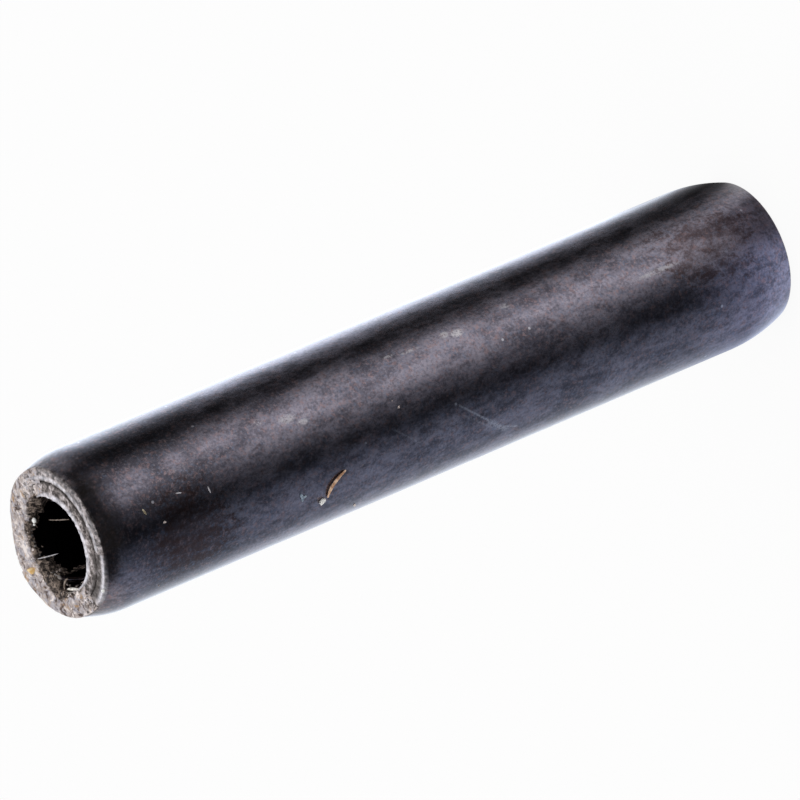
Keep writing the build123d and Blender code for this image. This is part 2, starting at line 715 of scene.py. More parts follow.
@dataclass(frozen=True)
class OxideSteel:
    """Spring steel with a thin black oxide, cloudy, worn at its ends and stained brown, with
    painted highlight and painted shade at its upper end.

    Attributes:
        coil: The shape that the finish wraps.
        dark: Colour of the thick oxide.
        deep: Its colour near the upper end.
        light: Colour of the thin oxide.
        cool: Colour of its bluish specks.
        warm: Colour of its reddish specks.
        dim: Colour of its dark specks.
        glint: Colour of its pale grain.
        brown: Colour of the stains.
        chip: Colour of the metal in the chips.
        bare_and_highlight: Colour of the steel where the oxide is worn through, also laid on the
            upper end's edges as painted highlight.
        dust: Colour of the dust that lies on it.
        sawn: Colour of the cut ends.
        filed: Colour of their brightest grain.
        sooty_and_shade: Colour of the dark dirt in the cut ends' grain and seams, also laid on as
            painted shade on the shoulder below the upper end.
        deepens: Heights between which the oxide takes its deep colour.
        thickens: Heights between which its thin clouds fade.
        clouds: Bumps for each millimetre of the broad clouds in the oxide.
        mottles: Bumps for each millimetre of the mottling in them.
        speckles: Bumps for each millimetre of the finest specks.
        scratches: The scratches on the outside.
        stains: The brown patches.
        chips: The small patches where it is chipped off.
        rubs: The patches where the oxide is rubbed thin.
    """

    coil: Coil
    dark: tuple = rgb(0.088, 0.082, 0.104)
    deep: tuple = rgb(0.050, 0.047, 0.060)
    light: tuple = rgb(0.240, 0.220, 0.268)
    cool: tuple = rgb(0.125, 0.155, 0.225)
    warm: tuple = rgb(0.270, 0.178, 0.180)
    dim: tuple = rgb(0.05, 0.046, 0.056)
    glint: tuple = rgb(0.42, 0.38, 0.41)
    brown: tuple = rgb(0.062, 0.036, 0.034)
    chip: tuple = rgb(0.54, 0.52, 0.54)
    bare_and_highlight: tuple = rgb(0.58, 0.575, 0.63)
    dust: tuple = rgb(0.42, 0.38, 0.33)
    sawn: tuple = rgb(0.235, 0.205, 0.200)
    filed: tuple = rgb(0.50, 0.46, 0.47)
    sooty_and_shade: tuple = rgb(0.038, 0.031, 0.030)
    deepens: tuple = (23.5, 28.0)
    thickens: tuple = (24.0, 28.5)
    clouds: float = 0.85
    mottles: float = 3.0
    speckles: float = 9.0
    scratches: tuple = (
        Scratch(234.8, 15.0, 49.0, 2.4, 0.075, 0.40), Scratch(222.5, 14.25, 49.0, 0.65, 0.19, 0.34),
        Scratch(217.5, 13.75, 67.0, 0.8, 0.09, 0.32), Scratch(230.0, 15.0, 52.0, 1.8, 0.08, 0.14),
        Scratch(243.5, 18.4, 49.0, 1.3, 0.07, 0.16),
    )
    stains: tuple = (Blotch(240.0, 28.3, 46.0, 2.6, 0.9), Blotch(286.0, 3.4, 36.0, 3.2, 0.72))
    chips: tuple = (
        Blotch(298.2, 15.25, 4.0, 0.35, 0.60), Blotch(295.7, 14.75, 4.6, 0.45, 0.80),
        Blotch(297.0, 16.9, 1.8, 0.7, 0.5), Blotch(299.5, 17.8, 1.6, 0.4, 0.45),
        Blotch(300.5, 12.3, 3.0, 0.4, 0.4), Blotch(281.0, 5.9, 3.0, 1.7, 0.42),
        Blotch(286.2, 22.95, 5.0, 0.6, 0.40), Blotch(280.2, 22.4, 3.5, 0.4, 0.50),
        Blotch(291.9, 24.05, 3.5, 0.3, 0.42),
    )
    rubs: tuple = (
        Blotch(282.0, 30.7, 13.0, 1.2, 0.50), Blotch(218.0, 31.2, 36.0, 2.0, 0.70),
        Blotch(288.0, 29.75, 15.0, 1.1, 0.70), Blotch(290.0, 27.9, 14.0, 0.9, 0.75),
        Blotch(291.0, 26.3, 9.0, 1.6, 0.55), Blotch(286.0, 22.5, 12.0, 1.8, 0.5),
        Blotch(296.0, 15.2, 13.0, 1.9, 0.8), Blotch(280.0, 17.8, 7.0, 2.2, 0.5),
        Blotch(288.0, 9.9, 7.0, 4.6, 0.6), Blotch(281.5, 6.0, 8.0, 2.8, 1.0),
    )

    def _wrapped(self, angle: float, height: float) -> tuple[float, float, float]:
        """A place on the outside as the wrap map has it: arc from the seam, then height."""
        return (math.radians((angle - self.coil.seam) % 360.0) * self.coil.radius, height, 0.0)

    def _blotches(self, nodes: Nodes, place: object, ragged: object,
                  blotches: Sequence[Blotch]) -> object:
        """Mask of a set of blotches: 1 in the middle of each, ragged towards its edge.

        Args:
            nodes: The material's nodes.
            place: The wrap map, in millimetres.
            ragged: A noise that eats into the edges.
            blotches: The patches.

        Returns:
            The mask's socket.
        """
        total = 0.0
        for blotch in blotches:
            size = (math.radians(blotch.across) * self.coil.radius / 2, blotch.along / 2, 1.0)
            offset = nodes.vector("SUBTRACT", place, self._wrapped(blotch.angle, blotch.height))
            scaled = nodes.vector("DIVIDE", offset.outputs[0], size)
            away = nodes.vector("LENGTH", scaled.outputs[0]).outputs["Value"]
            reach = nodes.plus(away, nodes.times(ragged, 1.2))
            mask = nodes.times(nodes.ease(reach, 1.6, 0.8), blotch.strength)
            total = nodes.larger(total, mask)
        return total

    def _scratched(self, nodes: Nodes, effects: Effects, place: object,
                   speckle: object) -> object:
        """Mask of all the scratches, each broken up by the specks.

        Args:
            nodes: The material's nodes.
            effects: The shared node groups.
            place: The wrap map, in millimetres.
            speckle: The fine noise.

        Returns:
            The mask's socket.
        """
        total = 0.0
        for scratch in self.scratches:
            node = effects.place(
                nodes, effects.scratch, Place=place, Lean=math.radians(scratch.lean),
                Middle=self._wrapped(scratch.angle, scratch.height),
                Half_Length=scratch.length / 2, Half_Width=scratch.width / 2)
            broken = nodes.times(node.outputs["Mask"], nodes.ease(speckle, 0.30, 0.55))
            total = nodes.larger(total, nodes.times(broken, scratch.strength))
        return total

    def build(self, effects: Effects) -> bpy.types.Material:
        """Makes the material: the oxide, then its marks, then the cut ends and the dirt on top.

        Args:
            effects: The shared node groups.

        Returns:
            The material.
        """
        material, nodes, surface = new_material("oxide_steel")
        ease, times = nodes.ease, nodes.times
        in_mm = nodes.in_mm()
        wrap = nodes.add("UVMap", {"uv_map": UV_LAYER}).outputs[0]
        worn, soot_and_shade, grime, cut_end, inside = (nodes.carried(mask.value) for mask in Mask)
        on_outside = nodes.maths("SUBTRACT", 1.0, inside, clamp=True)
        height_mm = nodes.add("SeparateXYZ", Vector=in_mm).outputs[2]

        drawn = nodes.vector("MULTIPLY", in_mm, (1.0, 1.0, 0.5)).outputs[0]
        cloud = nodes.noise(drawn, self.clouds, 5.0, 0.62, 0.6)
        mottle = nodes.noise(drawn, self.mottles, 5.0, 0.70, 0.4)
        speckle = nodes.noise(in_mm, self.speckles, 3.0, 0.70)
        fleck = nodes.noise(in_mm, 6.0, 3.0, 0.8)
        other_fleck = nodes.noise(in_mm, 5.1, 3.0, 0.8, 0.5)
        pits = nodes.noise(in_mm, 4.2, 4.0, 0.72)
        grain = effects.place(nodes, effects.grain, Place=in_mm, Fineness=9.0).outputs["Height"]
        fine = nodes.blend(0.55, fleck, mottle)

        ragged = times(nodes.minus(nodes.blend(0.6, cloud, mottle), 0.5), 6.0)
        rubbed = times(self._blotches(nodes, wrap, ragged, self.rubs),
                       nodes.blend(ease(mottle, 0.40, 0.60), 0.45, 1.0))
        stain = self._blotches(nodes, wrap, times(nodes.minus(fine, 0.5), 4.0), self.stains)
        chips = self._blotches(nodes, wrap, nodes.minus(fleck, 0.5), self.chips)
        thin = times(ease(nodes.blend(0.45, cloud, mottle), 0.38, 0.62),
                     nodes.blend(ease(height_mm, *self.thickens), 1.0, 0.25))
        thin = nodes.maths("ADD", thin, rubbed, clamp=True)
        colour = nodes.coats(
            nodes.mix(ease(height_mm, *self.deepens), self.dark, self.deep),
            (thin, self.light),
            (times(ease(fleck, 0.50, 0.68), nodes.blend(stain, 0.5, 0.05)), self.cool),
            (times(ease(other_fleck, 0.51, 0.66), 0.60), self.warm),
            (times(ease(nodes.blend(0.30, speckle, mottle), 0.54, 0.37), 0.50), self.dim),
            (times(ease(speckle, 0.53, 0.68), nodes.blend(rubbed, 0.18, 0.30)), self.glint),
            (times(stain, ease(fine, 0.68, 0.34)), self.brown),
            (times(chips, times(on_outside, ease(fleck, 0.40, 0.56))), self.chip))

        cells = nodes.add("TexVoronoi", Vector=in_mm, Scale=2.0)
        draw = nodes.add("SeparateColor", Color=cells.outputs["Color"]).outputs[0]
        chosen = ease(draw, 0.950, 0.955)
        dot = times(ease(cells.outputs["Distance"], 0.15, 0.07), chosen)
        scratched = times(self._scratched(nodes, effects, wrap, speckle), on_outside)
        # Painted highlight on the upper end's edges, laid on as worn-through steel, together with
        # the real scratches and pale dots.
        bright = times(worn, nodes.blend(ease(mottle, 0.30, 0.60), 0.45, 1.0))
        bright = nodes.larger(bright, nodes.larger(scratched, times(dot, times(on_outside, 0.7))))
        dusty = times(grime, ease(grain, 0.40, 0.60))
        end_tone = nodes.coats(self.sooty_and_shade, (ease(pits, 0.43, 0.53), self.sawn),
                               (ease(pits, 0.55, 0.62), self.filed))
        # The dark mask lays dirt on the cut face and painted shade on the shoulder below the upper
        # end.
        colour = nodes.coats(
            colour, (cut_end, end_tone), (bright, self.bare_and_highlight),
            (times(soot_and_shade, nodes.blend(ease(mottle, 0.58, 0.42), 0.60, 0.92)), self.sooty_and_shade),
            (dusty, self.dust))

        shine = nodes.plus(nodes.blend(thin, 0.15, 0.24), times(grain, 0.06))
        for mask, roughness in ((cut_end, 0.55), (bright, 0.34), (dusty, 0.85)):
            shine = nodes.blend(mask, shine, roughness)
        metal = nodes.maths("SUBTRACT", 1.0, nodes.larger(dusty, times(soot_and_shade, 0.2)), clamp=True)
        height = nodes.plus(times(grain, nodes.blend(cut_end, 0.6, 2.0)), times(mottle, 0.8))
        height = nodes.minus(height, times(scratched, 0.6))
        rough = nodes.add("Bump", Height=height, Strength=0.35, Distance=0.012 * MM)
        nodes.fill(surface, Base_Color=colour, Roughness=shine, Metallic=metal,
                   Normal=rough.outputs[0])
        return material


@dataclass(frozen=True)
class Grit:
    """Dry dirt: grey and beige dust with dark and pale grains in it.

    Attributes:
        name: The material's name.
        dark: Colour of the darkest crumbs.
        shadow: Colour between the crust's grains.
        middle: Colour of most of it.
        pale: Colour of the palest grains.
        lilac: Colour of the greyer dust.
        tan: Colour of scattered tan grains.
        bore_shade: Colours of the crust down the bore and by its edge, darker and paler: painted
            shade of the bore, with darker dirt at its edge.
        by_crumb: Whether each crumb's own shade sets how pale it is.
    """

    name: str
    dark: tuple = rgb(0.042, 0.032, 0.027)
    shadow: tuple = rgb(0.100, 0.070, 0.060)
    middle: tuple = rgb(0.435, 0.368, 0.345)
    pale: tuple = rgb(0.86, 0.78, 0.75)
    lilac: tuple = rgb(0.46, 0.435, 0.475)
    tan: tuple = rgb(0.50, 0.32, 0.17)
    bore_shade: tuple = (rgb(0.018, 0.013, 0.012), rgb(0.38, 0.30, 0.25))
    by_crumb: bool = False

    def build(self, effects: Effects) -> bpy.types.Material:
        """Makes the material: colours by fine noise, or by each crumb's shade.

        Args:
            effects: The shared node groups.

        Returns:
            The material.
        """
        material, nodes, surface = new_material(self.name)
        in_mm = nodes.in_mm()
        dust = effects.place(nodes, effects.dust, Place=in_mm)
        tone, shade = dust.outputs["Tone"], nodes.carried(SHADE)
        if self.by_crumb:
            tone = nodes.plus(shade, nodes.times(nodes.minus(tone, 0.5), 0.5))
            colour = nodes.coats(self.dark, (nodes.ease(tone, 0.10, 0.45), self.middle),
                                 (nodes.ease(tone, 0.55, 0.90), self.pale))
        else:
            hue = nodes.ease(nodes.noise(in_mm, 2.6, 3.0, 0.6, 0.8), 0.42, 0.58)
            tan = nodes.ease(nodes.noise(in_mm, 3.3, 2.0, 0.6, 0.4), 0.58, 0.70)
            middle = nodes.mix(hue, self.middle, self.lilac)
            dry = nodes.coats(
                self.shadow, (nodes.ease(tone, 0.40, 0.49), middle),
                (nodes.ease(tone, 0.50, 0.61), self.pale), (nodes.times(tan, 0.7), self.tan))
            lit = nodes.ease(nodes.noise(in_mm, 6.5, 4.0, 0.75), 0.43, 0.68)
            # Where the crust's shade value is low, down the bore and by its edge, these dark
            # colours paint the bore's shade.
            colour = nodes.mix(shade, nodes.mix(lit, *self.bore_shade), dry)
        rough = nodes.add("Bump", Height=dust.outputs["Height"], Strength=0.8, Distance=0.03 * MM)
        nodes.fill(surface, Base_Color=colour, Roughness=0.85, Specular_IOR_Level=0.25,
                   Normal=rough.outputs[0])
        return material


class Lint(Enum):
    """Finishes of stray fibres and grains: a name, a darker colour and a paler one."""

    AMBER = ("amber_grain", rgb(0.80, 0.48, 0.16), rgb(1.0, 0.80, 0.48))
    WHITE = ("white_grain", rgb(0.88, 0.87, 0.84), rgb(1.0, 1.0, 0.98))
    PALE = ("pale_lint", rgb(0.55, 0.50, 0.44), rgb(0.95, 0.92, 0.88))
    TAN = ("tan_fibre", rgb(0.42, 0.22, 0.12), rgb(0.86, 0.60, 0.42))
    FAINT = ("faint_lint", rgb(0.10, 0.07, 0.05), rgb(0.30, 0.24, 0.20))
    STRAW = ("straw_lint", rgb(0.22, 0.18, 0.11), rgb(0.52, 0.46, 0.32))
    BLUE = ("blue_grey_lint", rgb(0.14, 0.19, 0.26), rgb(0.36, 0.44, 0.52))
    GREY = ("grey_lint", rgb(0.26, 0.25, 0.27), rgb(0.55, 0.53, 0.56))

    def build(self, effects: Effects) -> bpy.types.Material:
        """Makes the material: dry, with streaks of the paler colour.

        Args:
            effects: The shared node groups.

        Returns:
            The material.
        """
        name, dark, pale = self.value
        material, nodes, surface = new_material(name)
        streaks = effects.place(nodes, effects.streaks, Place=nodes.in_mm())
        colour = nodes.mix(streaks.outputs["Mask"], dark, pale)
        nodes.fill(surface, Base_Color=colour, Roughness=0.6)
        return material


# ---------------------------------------------------------------- the strip


@dataclass(frozen=True)
class RolledStrip:
    """The strip of spring steel, rolled round on itself.

    Attributes:
        coil: The shape of the roll.
        material: Its finish.
        degrees_each: Between one section and the next.
        edge: Radius of the strip's edges.
        bevel_width: How far across the end the worn outer edge reaches, towards the front.
        bevel_depth: How far down it reaches.
        bevelled: Angles where this wear starts, is full, fades and ends.
        lip: How far the end's inner edge is burred into the bore, at the front.
        burred: Degrees travelled where this burr starts, is full, fades and ends.
        ragged: How uneven the cut end is.
        corner_rows: Points round each corner of the section.
        end_rows: Points along each swaged end, and across the strip.
        middle_rows: Points between the two swaged ends.
    """

    coil: Coil
    material: bpy.types.Material
    degrees_each: float = 1.2
    edge: float = 0.045
    bevel_width: float = 0.20
    bevel_depth: float = 0.07
    bevelled: tuple = (246.0, 254.0, 350.0, 374.0)
    lip: float = 0.20
    burred: tuple = (435.0, 530.0, 600.0, 665.0)
    ragged: float = 0.022
    corner_rows: int = 7
    end_rows: int = 14
    middle_rows: int = 21

    def _stations(self) -> np.ndarray:
        """Degrees travelled at each section: even steps, and closer ones at the strip's two edges.

        Returns:
            The degrees, in rising order.
        """
        even = np.arange(3.0, self.coil.travel - 3.0, self.degrees_each)
        close = np.array([0.0, 0.15, 0.4, 0.8, 1.3, 2.0])
        return np.concatenate([close, even, self.coil.travel - close[::-1]])

    def _bevel(self, travelled: np.ndarray) -> np.ndarray:
        """How fully the outer edge is worn to a bevel, from 0 to 1, at each station."""
        angle = self.coil.seam + travelled
        return span(angle, *self.bevelled) * (travelled < 360.0)

    def _section(self, travelled: np.ndarray) -> list[np.ndarray]:
        """The strip's section, as a closed run of points, at each station.

        The run goes up the outer face, over the upper end, down the inner face and
        back under the lower end. Corners are quarters of a circle or an ellipse.

        Args:
            travelled: Degrees travelled at each station.

        Returns:
            Depth into the strip, and height, each with a row for each point of the run.
        """
        coil, edge = self.coil, self.edge
        bevel = self._bevel(travelled)[None, :]
        wide = edge + (self.bevel_width - edge) * bevel
        deep = edge + (self.bevel_depth - edge) * bevel
        _, rise, turn = corner(self.corner_rows)
        ends = self.bevel_depth * 1.1 + shares(self.end_rows) ** 1.3 * (coil.foot_length + 0.1)
        straight = ends[-1] + shares(self.middle_rows)[1:-1] * (coil.length - 2 * ends[-1])
        up = np.concatenate([ends, straight, coil.length - ends[::-1]])
        across = shares(self.end_rows)[1:-1]
        top, far = coil.length, coil.strip
        runs = [
            (edge * turn, edge * rise), (0.0 * up, up), (wide * rise, top - deep * turn),
            (wide + across * (far - wide - edge), top), (far - edge * turn, top - edge * rise),
            (far, up[::-1]), (far - edge * rise, edge * turn),
            (far - edge - across * (far - 2 * edge), 0.0),
        ]
        return joined(runs, 0.0 * bevel)

    def build(self) -> bpy.types.Object:
        """Makes the strip: its section carried along the coil.

        A point lies on the coil's outer face, moved in along the normal by its depth
        and by what the swaged end draws in, at its height.

        Returns:
            The strip's object.
        """
        coil = self.coil
        travelled = self._stations()
        depth, height = self._section(travelled)
        plan, normal = coil.outside(travelled)
        fine, broad = SmoothNoise(11), SmoothNoise(23)
        into_end = height - coil.length + coil.swage_length
        upper = coil.swage(into_end, coil.swage_length, coil.swage_drop)
        lower = coil.swage(coil.foot_length - height, coil.foot_length, coil.foot_drop)
        near_top = smooth_step(height, coil.length - 0.25, coil.length - 0.02)

        from_edge = np.minimum(travelled, coil.travel - travelled) * math.radians(1.0) * coil.radius
        pinched = 0.7 * (1 - np.sqrt(1 - np.clip(1 - from_edge / 0.09, 0.0, 1.0) ** 2))
        lip = self.lip * span(travelled, *self.burred)
        lip = lip * smooth_step(height, coil.length - 0.45, coil.length - 0.1)
        half = (coil.strip * (1 + 0.04 * upper) + lip) / 2
        depth = half + (depth / coil.strip * 2 - 1) * half * (1 - pinched)

        outer_corner = smooth_step(travelled, 90.0, 0.0)
        inner_corner = smooth_step(travelled, coil.travel - 50.0, coil.travel)
        rim = coil.end_radius(travelled + coil.skew * outer_corner)
        draw = upper * (np.hypot(*plan.T) - rim) + lower * coil.foot_drop
        wavy = broad.layered(travelled / 30.0, height / 4.0, 2) * 0.006
        notched = fine.layered(travelled / 3.2, depth * 5.0 + 3.0, 3) * near_top
        inwards = depth + draw + wavy + notched * self.ragged
        x = plan[:, 0] - normal[:, 0] * inwards
        y = plan[:, 1] - normal[:, 1] * inwards
        turned = np.radians(coil.skew) * upper * (outer_corner - inner_corner)
        uneven = broad.layered(travelled / 4.5 + 20.0, depth * 6.0, 3) * self.ragged * near_top

        points = np.empty(depth.shape + (3,))
        points[..., 0] = x * np.cos(turned) - y * np.sin(turned)
        points[..., 1] = x * np.sin(turned) + y * np.cos(turned)
        points[..., 2] = np.clip(height + uneven - self.ragged * 0.5 * near_top, 0.0, coil.length)
        rows, columns = depth.shape
        faces = grid_faces(rows, columns, close_rows=True)[:, ::-1].tolist()
        first = np.arange(rows) * columns
        faces += [first.tolist(), (first + columns - 1)[::-1].tolist()]
        strip = make_piece("rolled_strip", points, faces, self.material)
        self._dress(strip, travelled, depth, points)
        return strip

    def _dress(self, strip: bpy.types.Object, travelled: np.ndarray, depth: np.ndarray,
               points: np.ndarray) -> None:
        """Gives the mesh its wrap map and the masks for its finish, among them painted highlight on
        the upper end's edges and painted shade below them.

        Args:
            strip: The strip's object.
            travelled: Degrees travelled at each station.
            depth: Depth into the strip of each point.
            points: The points, as a grid.
        """
        coil, mesh = self.coil, strip.data
        height = points[..., 2]
        angle = np.degrees(np.arctan2(points[..., 1], points[..., 0])) % 360.0
        from_axis = np.hypot(points[..., 0], points[..., 1])
        ragged = SmoothNoise(5).layered(travelled / 3.0, depth * 8.0, 3)
        top = smooth_step(height, coil.length - 0.16, coil.length - 0.07)
        outermost = (travelled < 360.0)[None, :]
        cut_end = np.maximum(smooth_step(height, coil.length - 0.12, coil.length - 0.05),
                             smooth_step(height, 0.05, 0.02))
        hidden = np.maximum(~outermost, smooth_step(depth, 0.30 * coil.strip, 0.60 * coil.strip))

        rim = coil.radius - coil.swage_drop
        bore = rim - coil.pitch - coil.strip
        front_left = span(angle, 196.0, 204.0, 245.0, 249.0)
        front_right = smooth_step(angle, 247.0, 252.0) + smooth_step(angle, 24.0, 0.0)
        # Bright lines along the end face's edges, at the bore and by the rim: partly worn edges,
        # partly painted highlight.
        inner_line = smooth_step(from_axis, bore + 0.12, bore - 0.06) * ~outermost * 0.75
        outer_line = (bump(from_axis, rim - 0.08, 0.19) * front_left
                      + bump(from_axis, rim - 0.33, 0.15) * front_right * 0.62
                      + bump(from_axis, rim - 0.09, 0.13) * front_right * 0.22) * outermost
        # Painted shade: the outer face's shoulder just below the upper end, between about 250 and
        # 345 degrees, is darkened as if in shade, less so at 282 degrees.
        shoulder = (span(angle, 247.0, 252.0, 295.0, 345.0) * (1 - 0.7 * bump(angle, 282.0, 9.0))
                    * outermost * (depth < 0.02))
        collar = smooth_step(height, coil.length - 1.3, coil.length - 0.35) * (1 - cut_end)
        end_soot = top * (bump(from_axis, rim - 0.42, 0.36) * front_left * 1.6
                          + bump(from_axis, rim - 0.51, 0.12) * front_right)
        masks = {
            Mask.WORN: top * np.maximum(inner_line, outer_line) * (0.85 + 0.6 * ragged),
            Mask.SOOT: np.maximum(end_soot, shoulder * collar),
            Mask.GRIME: top * (bump(angle, 95.0, 112.0) * 1.2 + 0.2 * ragged),
            Mask.CUT_END: cut_end,
            Mask.INSIDE: hidden * (1 - cut_end),
        }
        for mask, values in masks.items():
            write_values(strip, mask.value, np.clip(values, 0, 1))
        around = np.broadcast_to(np.radians(travelled) * coil.radius, depth.shape)
        wrap = np.stack([around, height], axis=-1)
        corners = np.empty(len(mesh.loops), dtype=np.int32)
        mesh.loops.foreach_get("vertex_index", corners)
        layer = mesh.uv_layers.new(name=UV_LAYER)
        layer.uv.foreach_set("vector", wrap.reshape(-1, 2)[corners].astype(np.float32).ravel())


# ---------------------------------------------------------------- the dirt


@dataclass(frozen=True)
class Clump:
    """A place where dirt is heaped on the bore's wall.

    Attributes:
        angle: Of its middle, in degrees about +Z.
        half_angle: How far it reaches to each side, in degrees.
        down: From the end down to its middle, in millimetres.
        half_height: How far it reaches up and down, in millimetres.
        thickness: At its middle, in millimetres.
    """

    angle: float
    half_angle: float
    down: float
    half_height: float
    thickness: float


@dataclass(frozen=True)
class DirtCrust:
    """Dirt caked on the back of the upper end: up the bore's wall, over the face and its rim.

    Attributes:
        coil: The roll that it sits on.
        material: What it is made of.
        start: Where it begins, in degrees about +Z.
        stop: Where it ends.
        down_bore: How far down the bore it reaches.
        down_outside: How far down the outside it reaches.
        round_off: Radius of its run over the face's two edges.
        clumps: Where it is heaped in the bore.
        columns: Points round it.
        bore_rows: Points down the bore.
        face_rows: Points across the face.
        rim_rows: Points down the outside.
        corner_rows: Points over each of the face's two edges.
    """

    coil: Coil
    material: bpy.types.Material
    start: float = -12.0
    stop: float = 196.0
    down_bore: float = 1.9
    down_outside: float = 0.35
    round_off: float = 0.04
    clumps: tuple = (Clump(32.0, 38.0, 0.25, 0.70, 0.34), Clump(122.0, 40.0, 0.10, 0.7, 0.14),
                     Clump(88.0, 70.0, 0.2, 1.3, 0.07))
    columns: int = 300
    bore_rows: int = 60
    face_rows: int = 42
    rim_rows: int = 14
    corner_rows: int = 5

    def walls(self, angle: np.ndarray) -> tuple[np.ndarray, np.ndarray]:
        """The upper end's two walls, with dirt packed behind the strip's outer edge.

        Args:
            angle: In degrees about +Z.

        Returns:
            Radius of the bore's wall, and of the rim, at each angle.
        """
        coil = self.coil
        edge = coil.seam + coil.skew
        past = angle - coil.seam
        inner_edge = coil.travel - 720.0 - coil.skew
        second, third = (coil.end_radius(turn + past) - coil.strip for turn in (360.0, 720.0))
        bore = second + (third - second) * smooth_step(past, inner_edge + 6.0, inner_edge - 2.0)
        packed = (smooth_step(angle, 60.0, 98.0) * 0.37 + 0.05) * (angle < edge)
        before, after = coil.end_radius(360.0 + past) + packed, coil.end_radius(past) + 0.03
        return bore, np.where(angle < edge, before, after)

    def build(self) -> bpy.types.Object:
        """Makes the crust: a run over the end's edge, carried round, and raised by lumpy noise.

        Where the noise gives no thickness, the crust lies just under the steel.

        Returns:
            The crust's object.
        """
        angle = np.linspace(self.start, self.stop, self.columns)
        bore, rim = self.walls(angle)
        top, bend = self.coil.length, self.round_off
        quarter, rise, turn = corner(self.corner_rows)
        down = np.linspace(1.0, 0.0, self.bore_rows)[:, None] ** 1.2
        across = shares(self.face_rows)[1:-1]
        outside = shares(self.rim_rows)[1:]
        zero = 0.0 * bore[None, :]
        runs = [
            (bore + 0.10 * down, top - bend - down * self.down_bore, np.pi + 0 * down),
            (bore + bend * rise, top - bend * turn, np.pi - quarter),
            (bore + bend + across * (rim - bore - 2 * bend), top, np.pi / 2 + 0 * across),
            (rim - bend * turn, top - bend * rise, np.pi / 2 - quarter),
            (rim, top - bend - outside * self.down_outside, 0 * outside),
        ]
        radius, height, tilt = joined(runs, zero)
        steps = np.hypot(np.diff(radius, axis=0), np.diff(height, axis=0))
        along = np.concatenate([zero, np.cumsum(steps, axis=0)])

        thick = self._thickness(angle[None, :], radius, height, along, bore, rim)
        radius = radius + thick * np.cos(tilt)
        height = height + thick * np.sin(tilt)
        faces = grid_faces(*radius.shape)[:, ::-1]
        crust = make_piece("dirt_crust", polar(angle, radius, height), faces, self.material)
        # The shade value falls to 0 down the bore and by its edge on the face, where the crust's
        # colours paint the bore's shade.
        inner = 1.80 + 0.06 * smooth_step(angle, 45.0, 75.0) + 0.50 * bump(angle, 136.0, 50.0)
        inner = inner + 0.22 * SmoothNoise(43).layered(angle / 7.0, along / 0.22, 3)
        dry = smooth_step(radius - inner, -0.03, 0.09)
        write_values(crust, SHADE, dry * smooth_step(height, top - 0.25, top - 0.03))
        return crust

    def _thickness(self, angle: np.ndarray, radius: np.ndarray, height: np.ndarray,
                   along: np.ndarray, bore: np.ndarray, rim: np.ndarray) -> np.ndarray:
        """Thickness of the crust: broad patches times lumps and grains.

        Args:
            angle: In degrees about +Z.
            radius: Distance from the axis.
            height: Along the pin.
            along: Distance along the run from its start in the bore.
            bore: Radius of the bore's wall at each angle.
            rim: Radius of the rim at each angle.

        Returns:
            Thickness at each point. It is below 0 where there is no dirt.
        """
        deep = self.coil.length - height
        in_bore = smooth_step(radius, bore + 0.12, bore + 0.02)
        clumps = sum(bump(angle, clump.angle, clump.half_angle)
                     * bump(deep, clump.down, clump.half_height) * clump.thickness
                     for clump in self.clumps)
        share = np.clip((radius - bore) / (rim - bore), 0.0, 1.0)
        face = span(angle, 8.0, 50.0, 150.0, 190.0) * 0.085
        face = face * (0.4 + 0.6 * smooth_step(share, 1.0, 0.7))
        amount = in_bore * clumps + (1 - in_bore) * face
        place = np.radians(angle) * 2.4
        lumps = SmoothNoise(31).layered(place / 0.34, along / 0.34, 2)
        grains = SmoothNoise(37).layered(place / 0.13 + 9.0, along / 0.13, 3)
        fine = 0.03 * grains * (amount > 0.015) * smooth_step(share, 1.0, 0.9)
        return amount * (0.78 + 0.70 * lumps + 0.35 * grains) + fine - 0.012


@dataclass(frozen=True)
class Crumb:
    """One crumb.

    Attributes:
        angle: Of its place, in degrees about +Z.
        radius: From the axis, in millimetres.
        height: Along the pin, in millimetres.
        size: Across it, in millimetres.
        shade: How light it is, from 0 to 1.
    """

    angle: float
    radius: float
    height: float
    size: float
    shade: float


